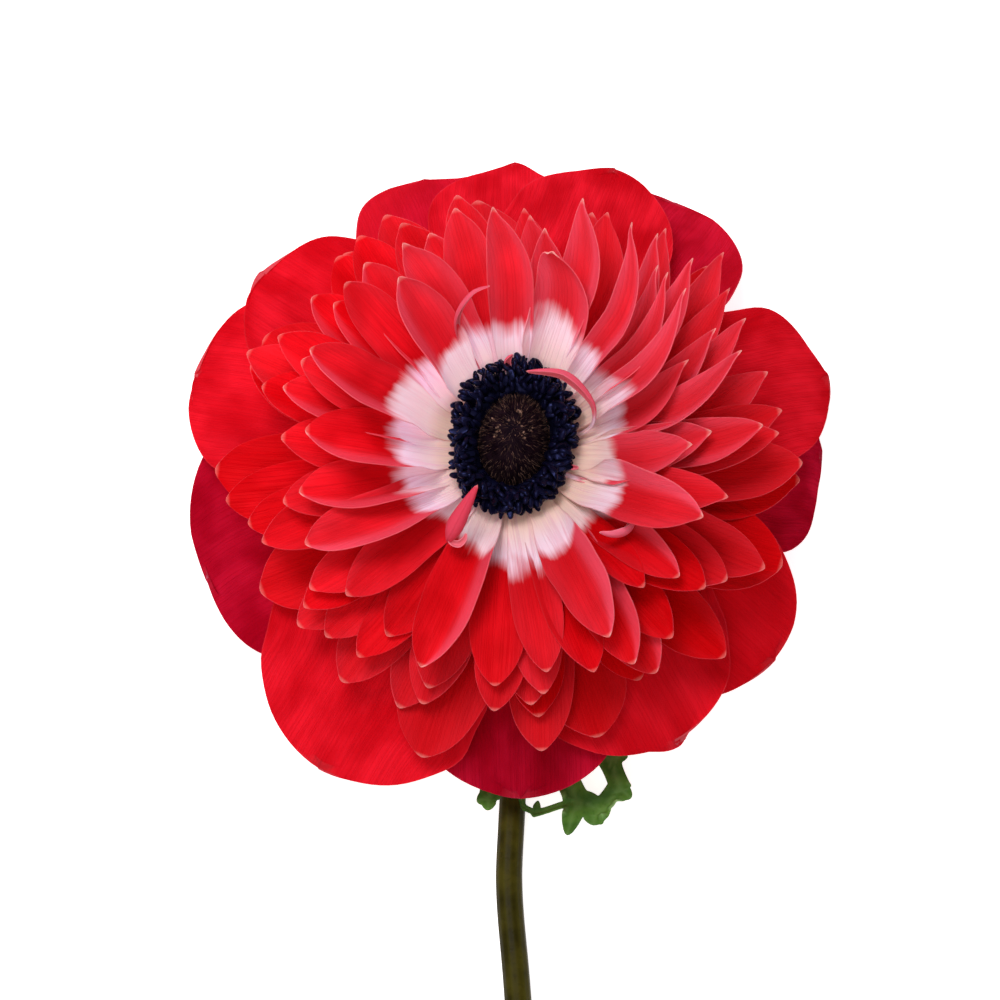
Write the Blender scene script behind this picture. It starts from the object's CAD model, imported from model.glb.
"""An anemone flower lying face up on a white ground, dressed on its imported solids.

Sizes are in metres unless a name says millimetres. The pieces are worked out round the bloom's
upright axis and then moved to where the solids have it.
"""

import logging
import math
import random
from collections.abc import Callable, Iterable, Iterator, Sequence
from dataclasses import dataclass, field
from enum import Enum

import bpy
import numpy as np
from mathutils import Matrix, Vector
from mathutils.geometry import delaunay_2d_cdt


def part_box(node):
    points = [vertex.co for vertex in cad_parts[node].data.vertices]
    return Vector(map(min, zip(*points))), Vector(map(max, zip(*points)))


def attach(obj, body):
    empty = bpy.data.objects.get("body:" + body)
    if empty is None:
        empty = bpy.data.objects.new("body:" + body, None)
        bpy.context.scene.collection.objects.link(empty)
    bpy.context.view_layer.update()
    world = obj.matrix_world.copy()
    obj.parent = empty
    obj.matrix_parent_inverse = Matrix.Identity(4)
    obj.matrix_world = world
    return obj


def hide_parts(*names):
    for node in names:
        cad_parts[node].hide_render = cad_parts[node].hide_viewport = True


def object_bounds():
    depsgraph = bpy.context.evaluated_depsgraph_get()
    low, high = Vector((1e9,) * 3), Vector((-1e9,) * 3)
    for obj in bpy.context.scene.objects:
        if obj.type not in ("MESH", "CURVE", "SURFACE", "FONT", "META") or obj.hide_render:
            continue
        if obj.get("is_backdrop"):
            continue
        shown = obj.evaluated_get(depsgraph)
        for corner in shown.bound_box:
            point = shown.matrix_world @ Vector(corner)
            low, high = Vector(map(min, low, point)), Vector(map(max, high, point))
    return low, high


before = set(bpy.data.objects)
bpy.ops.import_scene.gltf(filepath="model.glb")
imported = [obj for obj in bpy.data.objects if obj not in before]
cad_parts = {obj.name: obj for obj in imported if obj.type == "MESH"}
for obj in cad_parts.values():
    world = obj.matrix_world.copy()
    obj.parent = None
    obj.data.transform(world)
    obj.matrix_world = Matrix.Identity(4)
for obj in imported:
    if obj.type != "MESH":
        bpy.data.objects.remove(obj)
solid_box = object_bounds()

log = logging.getLogger("anemone")

MM = 0.001
SEED = 7
GOLDEN_ANGLE = math.radians(137.508)
EYE_HEIGHT = 28 * MM
# The eye's oval is turned this far about the bloom's axis.
OVAL_TURN = math.radians(-9)
BLADE_SKIN = 0.14 * MM
# The side of the bloom that the lamp shines through
LIT_SIDE = math.radians(140)
SMOOTH_ANGLE = math.radians(50)
WELD_DISTANCE = 0.002 * MM

# The camera, its square picture's side in pixels, and where it sees the eye's centre there
CAMERA_TILT = math.radians(15)
CAMERA_DISTANCE = 600 * MM
SENSOR_WIDTH = 36
PICTURE_SIDE = 1000
PIXEL = 0.15 * MM
EYE_PIXEL = (514, 437)

Colour = tuple[float, float, float]


def mix(low: float, high: float, share: float) -> float:
    """Returns the value that lies this share of the way from low to high."""
    return low + (high - low) * share


def smooth(share: float) -> float:
    """Returns a share from 0 to 1 that starts and ends level."""
    share = min(1.0, max(0.0, share))
    return share * share * (3 - 2 * share)


def bloom_axis() -> Vector:
    """Returns the foot of the bloom's upright axis, from the box of the pistil's solid."""
    low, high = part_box("pistil")
    return Vector(((low[0] + high[0]) / 2, (low[1] + high[1]) / 2, 0))


AXIS = bloom_axis()


# Modelling


def deselect() -> None:
    """Leaves nothing selected, so that an operator acts on the next piece alone."""
    bpy.ops.object.select_all(action="DESELECT")


def pick(piece: bpy.types.Object) -> None:
    """Makes the piece the only one selected, and the active one.

    Args:
        piece: The piece that operators are to act on.
    """
    deselect()
    piece.select_set(True)
    bpy.context.view_layer.objects.active = piece


def apply_modifier(piece: bpy.types.Object, kind: str, **settings: object) -> None:
    """Adds a modifier to the piece and applies it.

    Args:
        piece: The piece to change.
        kind: The modifier's type.
        settings: Its settings by name.
    """
    pick(piece)
    modifier = piece.modifiers.new(kind.lower(), kind)
    for name, value in settings.items():
        setattr(modifier, name, value)
    bpy.ops.object.modifier_apply(modifier=modifier.name)


def joined(parts: list[bpy.types.Object], name: str) -> bpy.types.Object:
    """Joins parts into one piece.

    Args:
        parts: The parts, each with its own mesh.
        name: The joined piece's name.

    Returns:
        The joined piece.
    """
    deselect()
    for part in parts:
        part.select_set(True)
    bpy.context.view_layer.objects.active = parts[0]
    bpy.ops.object.join()
    piece = bpy.context.view_layer.objects.active
    piece.name = piece.data.name = name
    return piece


def copy_of(model: bpy.types.Object, name: str) -> bpy.types.Object:
    """Copies a model.

    Args:
        model: The model to copy.
        name: The copy's name.

    Returns:
        The copy, with a mesh of its own.
    """
    made = model.copy()
    made.data = model.data.copy()
    made.name = made.data.name = name
    bpy.context.scene.collection.objects.link(made)
    return made


def discard(piece: bpy.types.Object) -> None:
    """Removes a model that only served to be copied.

    Args:
        piece: The model.
    """
    mesh = piece.data
    bpy.data.objects.remove(piece)
    bpy.data.meshes.remove(mesh)


def places_of(mesh: bpy.types.Mesh) -> np.ndarray:
    """Reads where a mesh's vertices are.

    Args:
        mesh: The mesh.

    Returns:
        One row of X, Y and Z for each vertex.
    """
    flat = np.empty(len(mesh.vertices) * 3, np.float32)
    mesh.vertices.foreach_get("co", flat)
    return flat.reshape(-1, 3).astype(float)


def set_places(mesh: bpy.types.Mesh, places: np.ndarray) -> None:
    """Moves the mesh's vertices to these rows of X, Y and Z."""
    mesh.vertices.foreach_set("co", places.astype(np.float32).ravel())
    mesh.update()


def write_marks(mesh: bpy.types.Mesh, **marks: np.ndarray) -> None:
    """Stores numbers or vectors at the vertices, for a material to read.

    Args:
        mesh: The mesh.
        marks: By attribute name, one number or one row of three for each vertex.
    """
    for name, rows in marks.items():
        vectors = rows.ndim == 2
        layer = mesh.attributes.new(name, "FLOAT_VECTOR" if vectors else "FLOAT", "POINT")
        layer.data.foreach_set("vector" if vectors else "value", rows.astype(np.float32).ravel())


def added(primitive: Callable[..., object], name: str, **settings: object) -> bpy.types.Object:
    """Adds one of the plain meshes.

    Args:
        primitive: The operator that adds it.
        name: The mesh's name.
        settings: What the operator is told.

    Returns:
        The mesh's object, with nothing left to apply.
    """
    deselect()
    primitive(**settings)
    piece = bpy.context.active_object
    piece.name = piece.data.name = name
    bpy.ops.object.transform_apply(location=True, rotation=True, scale=True)
    return piece


def add_grid(name: str, across: int, along: int) -> bpy.types.Object:
    """Adds a flat grid, two units wide and long, to be bent into a blade or rolled into a tube.

    Args:
        name: The grid's name.
        across: Its faces along X.
        along: Its faces along Y.

    Returns:
        The grid, round the origin.
    """
    return added(bpy.ops.mesh.primitive_grid_add, name, x_subdivisions=across, y_subdivisions=along, size=2)


def add_spike(name: str, sides: int, tip_radius: float) -> bpy.types.Object:
    """Adds a slim tapered stalk, one unit long up Z and one unit in radius at its foot.

    Args:
        name: The stalk's name.
        sides: How many sides it has.
        tip_radius: Its radius at the tip, as a share of that at the foot.

    Returns:
        The stalk, its foot at the origin.
    """
    return added(
        bpy.ops.mesh.primitive_cone_add, name, vertices=sides, radius1=1.0, radius2=tip_radius, depth=1,
        location=(0, 0, 0.5),
    )


def edit(piece: bpy.types.Object, step: Callable[[], object]) -> None:
    """Runs an edit-mode operator on all of the piece's mesh.

    Args:
        piece: The piece to edit.
        step: Calls the operator.
    """
    pick(piece)
    bpy.ops.object.mode_set(mode="EDIT")
    bpy.ops.mesh.select_all(action="SELECT")
    step()
    bpy.ops.object.mode_set(mode="OBJECT")


def sew(piece: bpy.types.Object) -> None:
    """Merges the vertices that meet, as at a blade's tip."""
    edit(piece, lambda: bpy.ops.mesh.remove_doubles(threshold=WELD_DISTANCE))


def face_outwards(piece: bpy.types.Object) -> None:
    """Turns all faces of the piece to one side, outwards where it is closed."""
    edit(piece, lambda: bpy.ops.mesh.normals_make_consistent(inside=False))


def dress(piece: bpy.types.Object, finish: bpy.types.Material, slot: str, *nodes: str) -> bpy.types.Object:
    """Gives a finished piece its material, its smooth faces and its place in the frame.

    Args:
        piece: The finished piece.
        finish: Its material.
        slot: The record's material slot.
        nodes: The solids that it stands for.

    Returns:
        The piece.
    """
    pick(piece)
    bpy.ops.object.shade_smooth_by_angle(angle=SMOOTH_ANGLE)
    piece.data.materials.clear()
    piece.data.materials.append(finish)
    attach(piece, "root")
    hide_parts(*nodes)
    piece.data.calc_loop_triangles()
    log.info("%s: %d triangles", piece.name, len(piece.data.loop_triangles))
    return piece


# Shading


class Tree:
    """Adds and links the nodes of one material or one node group."""

    def __init__(self, tree: bpy.types.NodeTree) -> None:
        """Keeps the tree to add to."""
        self.tree = tree

    def add(self, kind: str, inputs: dict | None = None, **settings: object) -> bpy.types.Node:
        """Adds a node.

        Args:
            kind: The node's type, without its ShaderNode prefix.
            inputs: Its inputs by name or number: a socket to link from, or a value.
            settings: Its own settings.

        Returns:
            The node.
        """
        node = self.tree.nodes.new("ShaderNode" + kind)
        for name, value in settings.items():
            setattr(node, name, value)
        for key, value in (inputs or {}).items():
            self.feed(node.inputs[key], value)
        return node

    def feed(self, socket: bpy.types.NodeSocket, value: object) -> None:
        """Links a socket, or sets its value.

        Args:
            socket: The socket to feed.
            value: A socket to link from, a colour, or another value of the socket's kind.
        """
        if isinstance(value, bpy.types.NodeSocket):
            self.tree.links.new(value, socket)
        elif socket.type == "RGBA":
            socket.default_value = (*value, 1)
        else:
            socket.default_value = value

    def coat(self, shader: bpy.types.Node, inputs: dict[str, object]) -> None:
        """Feeds a shader's inputs, each given by its name."""
        for name, value in inputs.items():
            self.feed(shader.inputs[name], value)

    def mark(self, name: str, output: str = "Vector") -> bpy.types.NodeSocket:
        """Returns a mark that the mesh carries."""
        return self.add("Attribute", attribute_name=name).outputs[output]

    def split(self, vector: object) -> list[bpy.types.NodeSocket]:
        """Returns a vector's three numbers."""
        return list(self.add("SeparateXYZ", {0: vector}).outputs)

    def math(self, operation: str, *values: object, clamp: bool = False) -> bpy.types.NodeSocket:
        """Returns the outcome of a sum on sockets or numbers."""
        return self.add("Math", dict(enumerate(values)), operation=operation, use_clamp=clamp).outputs[0]

    def times(self, value: object, by: object) -> bpy.types.NodeSocket:
        """Returns one value multiplied by another."""
        return self.math("MULTIPLY", value, by)

    def swing(self, value: object, by: float, base: object) -> bpy.types.NodeSocket:
        """Returns the base moved up and down by a pattern from 0 to 1, half its swing each way."""
        return self.math("MULTIPLY_ADD", self.math("SUBTRACT", value, 0.5), by, base)

    def blend(self, share: object, first: object, second: object) -> bpy.types.NodeSocket:
        """Blends two colours.

        Args:
            share: The second colour's share.
            first: The colour where the share is 0.
            second: The colour where the share is 1.

        Returns:
            The blended colour.
        """
        node = self.add("Mix", data_type="RGBA", clamp_factor=True)
        for number, value in ((0, share), (6, first), (7, second)):
            self.feed(node.inputs[number], value)
        return node.outputs[2]

    def layered(self, colour: object, layers: Iterable[tuple[object, object]]) -> bpy.types.NodeSocket:
        """Lays colours over a colour.

        Args:
            colour: The colour under the layers.
            layers: Each layer's share and colour, from the lowest.

        Returns:
            The colour that is seen.
        """
        for share, over in layers:
            colour = self.blend(share, colour, over)
        return colour

    def ramp(
        self, value: object, start: float, end: float, low: float = 0.0, high: float = 1.0
    ) -> bpy.types.NodeSocket:
        """Returns the value eased from low to high, as it goes from start to end."""
        inputs = {"Value": value, "From Min": start, "From Max": end, "To Min": low, "To Max": high}
        return self.add("MapRange", inputs, interpolation_type="SMOOTHSTEP").outputs[0]

    def noise(self, place: object, scale: object, detail: float = 2.0, rough: float = 0.5) -> bpy.types.NodeSocket:
        """Returns a cloudy pattern from 0 to 1."""
        inputs = {"Vector": place, "Scale": scale, "Detail": detail, "Roughness": rough}
        return self.add("TexNoise", inputs).outputs["Fac"]

    def stretched(self, place: object, by: tuple[float, float, float]) -> bpy.types.NodeSocket:
        """Returns a place multiplied along each axis, so that a pattern on it is drawn out."""
        return self.add("VectorMath", {0: place, 1: by}, operation="MULTIPLY").outputs[0]

    def group(self, shared: bpy.types.NodeTree, **inputs: object) -> bpy.types.NodeOutputs:
        """Places a shared node group.

        Args:
            shared: The group.
            inputs: What its inputs are fed, by name.

        Returns:
            Its outputs.
        """
        return self.add("Group", inputs, node_tree=shared).outputs

    def bump(self, height: object, depth: float, strength: float = 1.0) -> bpy.types.NodeSocket:
        """Returns normals raised by this height pattern, depth metres high."""
        return self.add("Bump", {"Height": height, "Distance": depth, "Strength": strength}).outputs[0]


def new_group(
    name: str, inputs: dict[str, str], outputs: dict[str, str]
) -> tuple[Tree, bpy.types.NodeOutputs, bpy.types.NodeInputs]:
    """Starts a shared node group.

    Args:
        name: The group's name.
        inputs: Its input names, with the kind of each socket.
        outputs: Its output names, with the kind of each socket.

    Returns:
        Its tree, its inputs as sockets to link from, and its outputs as sockets to link to.
    """
    group = bpy.data.node_groups.new(name, "ShaderNodeTree")
    for way, sockets in (("INPUT", inputs), ("OUTPUT", outputs)):
        for label, kind in sockets.items():
            group.interface.new_socket(label, in_out=way, socket_type="NodeSocket" + kind)
    starts, ends = group.nodes.new("NodeGroupInput"), group.nodes.new("NodeGroupOutput")
    return Tree(group), starts.outputs, ends.inputs


def petal_grain_group() -> bpy.types.NodeTree:
    """Builds the lengthwise grain of a petal: fine streaks, thin veins and broad clouds.

    Returns:
        The group. It reads the vector "lay": millimetres across and along, and a number for each blade.
    """
    tree, given, out = new_group(
        "petal_grain", {"Lay": "Vector"}, {"Streak": "Float", "Vein": "Float", "Cloud": "Float"}
    )
    tree.feed(out["Streak"], tree.noise(tree.stretched(given["Lay"], (1.5, 0.07, 1.0)), 1.0, 3.0, 0.6))
    ridges = tree.noise(tree.stretched(given["Lay"], (2.6, 0.03, 3.0)), 1.0, 1.0)
    tree.feed(out["Vein"], tree.ramp(tree.math("ABSOLUTE", tree.math("SUBTRACT", ridges, 0.5)), 0.0, 0.05, 1.0, 0.0))
    clouds = tree.noise(tree.stretched(given["Lay"], (0.16, 0.09, 2.0)), 1.0)
    tree.feed(out["Cloud"], tree.ramp(clouds, 0.3, 0.7))
    return tree.tree


def surface_grain_group() -> bpy.types.NodeTree:
    """Builds a fine mottle in the object's own space, for green parts and the eye.

    Returns:
        The group.
    """
    tree, given, out = new_group("surface_grain", {"Scale": "Float"}, {"Mottle": "Float", "Speck": "Float"})
    place = tree.add("TexCoord").outputs["Object"]
    tree.feed(out["Mottle"], tree.ramp(tree.noise(place, given["Scale"], 3.0), 0.3, 0.7))
    tree.feed(out["Speck"], tree.ramp(tree.noise(place, tree.times(given["Scale"], 6.0)), 0.55, 0.7))
    return tree.tree


@dataclass(frozen=True)
class SharedEffects:
    """The node groups that several finishes use."""

    petal_grain: bpy.types.NodeTree = field(default_factory=petal_grain_group)
    surface_grain: bpy.types.NodeTree = field(default_factory=surface_grain_group)


def start_material(name: str) -> tuple[bpy.types.Material, Tree, bpy.types.Node]:
    """Starts a material.

    Args:
        name: Its name.

    Returns:
        The material, its tree and its Principled shader.
    """
    material = bpy.data.materials.new(name)
    material.use_nodes = True
    return material, Tree(material.node_tree), material.node_tree.nodes["Principled BSDF"]


@dataclass(frozen=True)
class PetalFinish:
    """Living petal: a deep colour with lengthwise grain, a pale rim, and white towards the eye."""

    name: str
    bright: Colour
    deep: Colour
    blush: Colour
    rim: Colour
    underside: Colour
    tip: Colour = (0.90, 0.50, 0.44)
    white: Colour = (0.86, 0.66, 0.79)
    cream: Colour = (0.87, 0.58, 0.47)
    white_streak: Colour = (0.74, 0.36, 0.48)
    white_rim: Colour = (0.58, 0.25, 0.25)
    through: Colour = (0.24, 0.19, 0.27)
    vein_share: float = 0.25
    streak_share: float = 0.4
    rim_width: float = 0.15
    rim_share: float = 0.02
    pale_tip: float = 1.0
    glow: float = 0.2
    gloss: float = 0.01
    roughness: float = 0.42

    def build(self, effects: SharedEffects) -> bpy.types.Material:
        """Builds the material.

        Args:
            effects: The shared node groups.

        Returns:
            The material. It reads from the mesh "lay", "under", "marks" (millimetres from the rim, the
            distance along as a share of the white's length, how blushed the blade is) and "stand" (how
            much light comes through the blade, how deep it is in colour, millimetres from its tip).
        """
        material, tree, shader = start_material(self.name)
        lay = tree.mark("lay")
        rim, reach, blush = tree.split(tree.mark("marks"))
        lit, shade, tip = tree.split(tree.mark("stand"))
        grain = tree.group(effects.petal_grain, Lay=lay)
        is_white = self.whiteness(tree, grain, reach)
        red = self.red(tree, grain, (rim, reach, blush), (shade, tip))
        white = self.paleness(tree, grain, rim, reach, tree.split(lay)[2])
        # Light passes through the thin petals on the lamp's side.
        glowing = tree.blend(is_white, (0.08, 0.0, 0.001), self.through)
        clear = tree.times(lit, tree.ramp(reach, 0.35, 0.6))
        height = tree.math("MULTIPLY_ADD", grain["Vein"], -0.5, grain["Streak"])
        tree.coat(shader, {
            "Base Color": tree.blend(is_white, red, white),
            "Roughness": tree.swing(grain["Streak"], 0.16, self.roughness),
            "Normal": tree.bump(height, 0.10 * MM, 0.8),
            "Specular IOR Level": self.gloss,
            "Subsurface Weight": self.glow,
            "Subsurface Radius": (1.0, 0.3, 0.35),
            "Subsurface Scale": 0.8 * MM,
            "Emission Color": tree.blend(clear, (0.0, 0.0, 0.0), glowing),
            "Emission Strength": 1.0,
        })
        material.cycles.emission_sampling = "NONE"
        return material

    def whiteness(self, tree: Tree, grain: bpy.types.NodeOutputs, reach: object) -> bpy.types.NodeSocket:
        """Returns 1 where the blade is white: its border is ragged, as streaks of red run into it."""
        ragged = tree.swing(grain["Streak"], 0.15, tree.swing(grain["Cloud"], 0.2, reach))
        return tree.ramp(ragged, 0.88, 1.1, 1.0, 0.0)

    def red(
        self, tree: Tree, grain: bpy.types.NodeOutputs, marks: tuple[object, ...], stand: tuple[object, ...]
    ) -> bpy.types.NodeSocket:
        """Colours the blade beyond the white, layer on layer.

        Args:
            tree: The material's tree.
            grain: The petal grain's outputs.
            marks: Millimetres from the rim, the reach towards the white's end, and the blush.
            stand: How deep the blade is in colour, and millimetres from its tip.

        Returns:
            The colour.
        """
        rim, reach, blush = marks
        shade, tip = stand
        inwards = tree.ramp(reach, 1.0, 1.75, 0.4, 0.0)
        rim_share = tree.math("MULTIPLY_ADD", blush, 0.22, self.rim_share)
        tip_share = tree.math("MULTIPLY_ADD", blush, 0.45 * self.pale_tip, 0.2 * self.pale_tip)
        return tree.layered(tree.blend(grain["Cloud"], self.deep, self.bright), (
            (tree.ramp(grain["Streak"], 0.42, 0.72, 0.0, self.streak_share), self.deep),
            (tree.math("MULTIPLY_ADD", shade, 0.62, inwards, clamp=True), self.deep),
            (tree.times(grain["Vein"], self.vein_share), self.deep),
            (tree.times(blush, 0.8), self.blush),
            (tree.times(tree.mark("under", "Fac"), 0.75), self.underside),
            (tree.times(tree.ramp(rim, 0.04, self.rim_width, 1.0, 0.0), rim_share), self.rim),
            (tree.times(tree.ramp(tip, 0.05, 0.5, 1.0, 0.0), tip_share), self.tip),
        ))

    def paleness(
        self, tree: Tree, grain: bpy.types.NodeOutputs, rim: object, reach: object, number: object
    ) -> bpy.types.NodeSocket:
        """Colours the white: creamy inwards, streaked outwards, and in a tone of the blade's own.

        Args:
            tree: The material's tree.
            grain: The petal grain's outputs.
            rim: Millimetres from the rim.
            reach: The distance along, as a share of the white's length.
            number: The blade's number.

        Returns:
            The colour.
        """
        streak = tree.ramp(grain["Streak"], 0.45, 0.72, 0.0, 0.6)
        own_tone = tree.math("FRACT", tree.times(number, 0.731))
        return tree.layered(tree.blend(tree.ramp(reach, 0.45, 0.95), self.cream, self.white), (
            (tree.times(streak, tree.ramp(reach, 0.45, 1.0, 0.2, 1.0)), self.white_streak),
            (tree.times(grain["Vein"], 0.5), self.white_streak),
            (tree.times(own_tone, 0.55), self.cream),
            (tree.ramp(rim, 0.02, 0.22, 0.5, 0.0), self.white_rim),
        ))


@dataclass(frozen=True)
class MottledFinish:
    """Stem, leaf or eye: two mottled colours, and a paler one where the mesh is marked for it."""

    name: str
    dark: Colour
    light: Colour
    pale: Colour
    roughness: float
    scale: float
    mark: str = "rib"
    uneven: float = 0.14
    specks: float = 0.3
    speck_height: float = 0.4
    relief: tuple[float, float] = (0.06 * MM, 0.6)
    tint: Colour = (1.0, 1.0, 1.0)
    level: float = 0.05

    def build(self, effects: SharedEffects) -> bpy.types.Material:
        """Builds the material.

        Args:
            effects: The shared node groups.

        Returns:
            The material. It reads its mark from the mesh, 1 on a rib, a rim or a pale tip.
        """
        material, tree, shader = start_material(self.name)
        grain = tree.group(effects.surface_grain, Scale=self.scale)
        mottled = tree.blend(grain["Mottle"], self.dark, self.light)
        colour = tree.layered(mottled, (
            (tree.times(grain["Speck"], self.specks), self.dark), (tree.mark(self.mark, "Fac"), self.pale),
        ))
        height = tree.math("MULTIPLY_ADD", grain["Speck"], self.speck_height, grain["Mottle"])
        tree.coat(shader, {
            "Base Color": colour,
            "Roughness": tree.swing(grain["Mottle"], self.uneven, self.roughness),
            "Normal": tree.bump(height, *self.relief),
            "Specular Tint": self.tint,
            "Specular IOR Level": self.level,
        })
        return material


# What the finishes of the anthers and the dome share
EYE_GRAIN = {
    "scale": 700.0, "mark": "tip", "uneven": 0.15, "specks": 0.0, "speck_height": 0.0, "relief": (0.05 * MM, 0.5),
}


@dataclass(frozen=True)
class Palette:
    """The flower's finishes."""

    effects: SharedEffects
    tepal_scarlet: PetalFinish = PetalFinish(
        "tepal_scarlet", (0.82, 0.012, 0.028), (0.47, 0.003, 0.008), (0.74, 0.05, 0.09),
        (0.85, 0.22, 0.27), (0.62, 0.08, 0.10), rim_width=0.3, rim_share=0.04, vein_share=0.3,
        streak_share=0.25, pale_tip=0.0, gloss=0.0,
    )
    tepal_crimson: PetalFinish = PetalFinish(
        "tepal_crimson", (0.52, 0.007, 0.034), (0.25, 0.001, 0.009), (0.60, 0.008, 0.018),
        (0.75, 0.16, 0.24), (0.50, 0.08, 0.13), rim_width=0.3, rim_share=0.04, vein_share=0.35,
        streak_share=0.3, pale_tip=0.0, gloss=0.0,
    )
    curl_pink: PetalFinish = PetalFinish(
        "curl_pink", (0.80, 0.06, 0.11), (0.62, 0.02, 0.05), (0.80, 0.16, 0.24),
        (0.90, 0.42, 0.46), (0.72, 0.16, 0.20),
    )
    petal_scarlet: PetalFinish = PetalFinish(
        "petal_scarlet", (0.95, 0.008, 0.018), (0.50, 0.001, 0.003), (0.84, 0.085, 0.14),
        (0.90, 0.24, 0.28), (0.70, 0.03, 0.05),
    )
    stem_olive: MottledFinish = MottledFinish(
        "olive_stem", (0.018, 0.015, 0.001), (0.046, 0.039, 0.003), (0.080, 0.076, 0.014), 0.42, 240.0,
    )
    bract_green: MottledFinish = MottledFinish(
        "green_bract", (0.028, 0.092, 0.014), (0.085, 0.205, 0.028), (0.20, 0.36, 0.12), 0.40, 220.0,
    )
    anther: MottledFinish = MottledFinish(
        "blue_black_anther", (0.0010, 0.0010, 0.004), (0.003, 0.003, 0.014), (0.02, 0.02, 0.05), 0.275,
        tint=(0.12, 0.14, 0.42), level=0.5, **EYE_GRAIN,
    )
    pistil: MottledFinish = MottledFinish(
        "purple_black_pistil", (0.003, 0.001, 0.003), (0.011, 0.005, 0.008), (0.42, 0.25, 0.18), 0.605,
        tint=(0.3, 0.2, 0.3), level=0.1, **EYE_GRAIN,
    )


# Blades


def gone(share: np.ndarray, start: float, over: float) -> np.ndarray:
    """Returns 0 up to the start, rising evenly to 1 over the stretch beyond it."""
    return np.clip((share - start) / over, 0, 1)


@dataclass
class Blade:
    """One petal or tepal: a thin curved blade that runs out from the bloom's axis.

    Angles are in radians. Slopes are those of the midrib above the horizontal. The blade leaves the
    axis at its azimuth, rises over its first stretch and droops to its tip slope. It is swept and
    hooked to a side, rolled about its midrib, cupped, waved and spooned, folded up at its margins and
    recurved at its tip. Its end has a point or a notch. Blush, depth and number are for its finish.
    """

    azimuth: float
    root_radius: float
    root_height: float
    length: float
    half_width: float
    root_slope: float
    main_slope: float
    tip_slope: float
    white_radius: float
    rise: float = 10 * MM
    sweep: float = 0.0
    roll: float = 0.0
    cup: float = 0.12
    wave: float = 0.0
    phase: float = 0.0
    claw: float = 0.3
    widest: float = 0.62
    tip_power: float = 2.0
    tip_round: float = 0.8
    spoon: float = 0.0
    fold_left: float = 0.0
    fold_right: float = 0.0
    recurve: float = 0.0
    hook: float = 0.0
    rim_wave: float = 0.0
    rim_waves: float = 9.0
    point: float = 0.0
    notch: float = 0.0
    notch_at: float = -0.22
    blush: float = 0.0
    depth: float = 0.0
    ripple: float = 0.0
    ragged: float = 0.0
    number: float = 0.0

    # The midrib's steps, and how much closer the grid's rows stand towards the tip
    STEPS = 48
    CROWDING = 1.9

    def __post_init__(self) -> None:
        """Lays the midrib out in steps, as radius, height and slope."""
        self.shares = np.linspace(0, 1, self.STEPS + 1)
        step = self.length / self.STEPS
        rows = [(self.root_radius, self.root_height)]
        for i in range(self.STEPS):
            slope = self.slope((i + 0.5) / self.STEPS)
            radius, height = rows[-1]
            rows.append((radius + step * math.cos(slope), height + step * math.sin(slope)))
        slopes = [self.slope(share) for share in self.shares]
        self.spine = np.column_stack((np.array(rows), slopes))

    def slope(self, u: float) -> float:
        """Finds the midrib's slope: from its root it rises, then bends over to its tip.

        Args:
            u: A share of its length.

        Returns:
            The slope there.
        """
        raised = smooth(u * self.length / self.rise)
        start = self.rise / self.length
        bent = max(0.0, (u - start) / (1 - start)) ** 1.5
        curled = self.recurve * max(0.0, (u - 0.72) / 0.28) ** 1.5
        return mix(self.root_slope, self.main_slope, raised) + (self.tip_slope - self.main_slope) * bent + curled

    def widths(self, u: np.ndarray) -> np.ndarray:
        """Finds half the blade's width: a claw, a broad middle and a rounded end.

        Args:
            u: Shares of its length.

        Returns:
            Half the width at each.
        """
        opened = np.sin(np.pi / 2 * np.minimum(u / self.widest, 1.0)) ** 1.3
        rising = self.claw + (1 - self.claw) * opened
        beyond = np.clip((u - self.widest) / (1 - self.widest), 0, 1)
        falling = (1 - beyond ** self.tip_power) ** self.tip_round
        return self.half_width * np.where(u < self.widest, rising, falling)

    def white_share(self) -> float:
        """Returns how far along the blade its white reaches."""
        return float(np.interp(self.white_radius, self.spine[:, 0], self.shares))

    def surface(self, u: np.ndarray, v: np.ndarray) -> np.ndarray:
        """Lays out the blade's middle surface.

        Args:
            u: Shares of its length, one for each point.
            v: Shares of its half-width, from -1 to 1.

        Returns:
            The points, as rows of X, Y and Z round the bloom's axis.
        """
        radius, height, slope = (np.interp(u, self.shares, column) for column in self.spine.T)
        radial = np.array((math.cos(self.azimuth), math.sin(self.azimuth), 0.0))
        tangent = np.array((-radial[1], radial[0], 0.0))
        up = np.array((0.0, 0.0, 1.0))
        centre = np.outer(radius, radial) + np.outer(height, up)
        hooked = gone(u, 0.6, 0.4) ** 2
        centre += np.outer(self.length * (self.sweep * u * u + self.hook * hooked), tangent)
        along = np.outer(np.cos(slope), radial) + np.outer(np.sin(slope), up)
        along += np.outer(2 * self.sweep * u, tangent)
        along /= np.linalg.norm(along, axis=1, keepdims=True)
        level = np.cross(up, along)
        level /= np.linalg.norm(level, axis=1, keepdims=True)
        above = np.cross(along, level)
        eased = np.clip(2 * u, 0, 1)
        turn = (self.roll * eased * eased * (3 - 2 * eased))[:, None]
        across = level * np.cos(turn) + above * np.sin(turn)
        normal = np.cross(along, across)
        width = self.rippled(u, v)
        lift, reach = self.lift(u, v, width), self.overreach(u, v)
        return centre + across * (v * width)[:, None] + normal * lift[:, None] + along * reach[:, None]

    def rippled(self, u: np.ndarray, v: np.ndarray) -> np.ndarray:
        """Finds half the blade's width where its margins run in and out.

        Args:
            u: Shares of its length, one for each point.
            v: Shares of its half-width.

        Returns:
            Half the width at each point.
        """
        margin = np.sin(self.rim_waves * 0.9 * u + 1.7 * self.phase + 1.9 * np.sign(v))
        margin += 0.4 * np.sin(self.rim_waves * 2.1 * u + 2.9 * self.phase + 0.8 * np.sign(v))
        return self.widths(u) * (1 + self.ripple * margin * np.sin(np.pi * u) ** 0.5)

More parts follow.
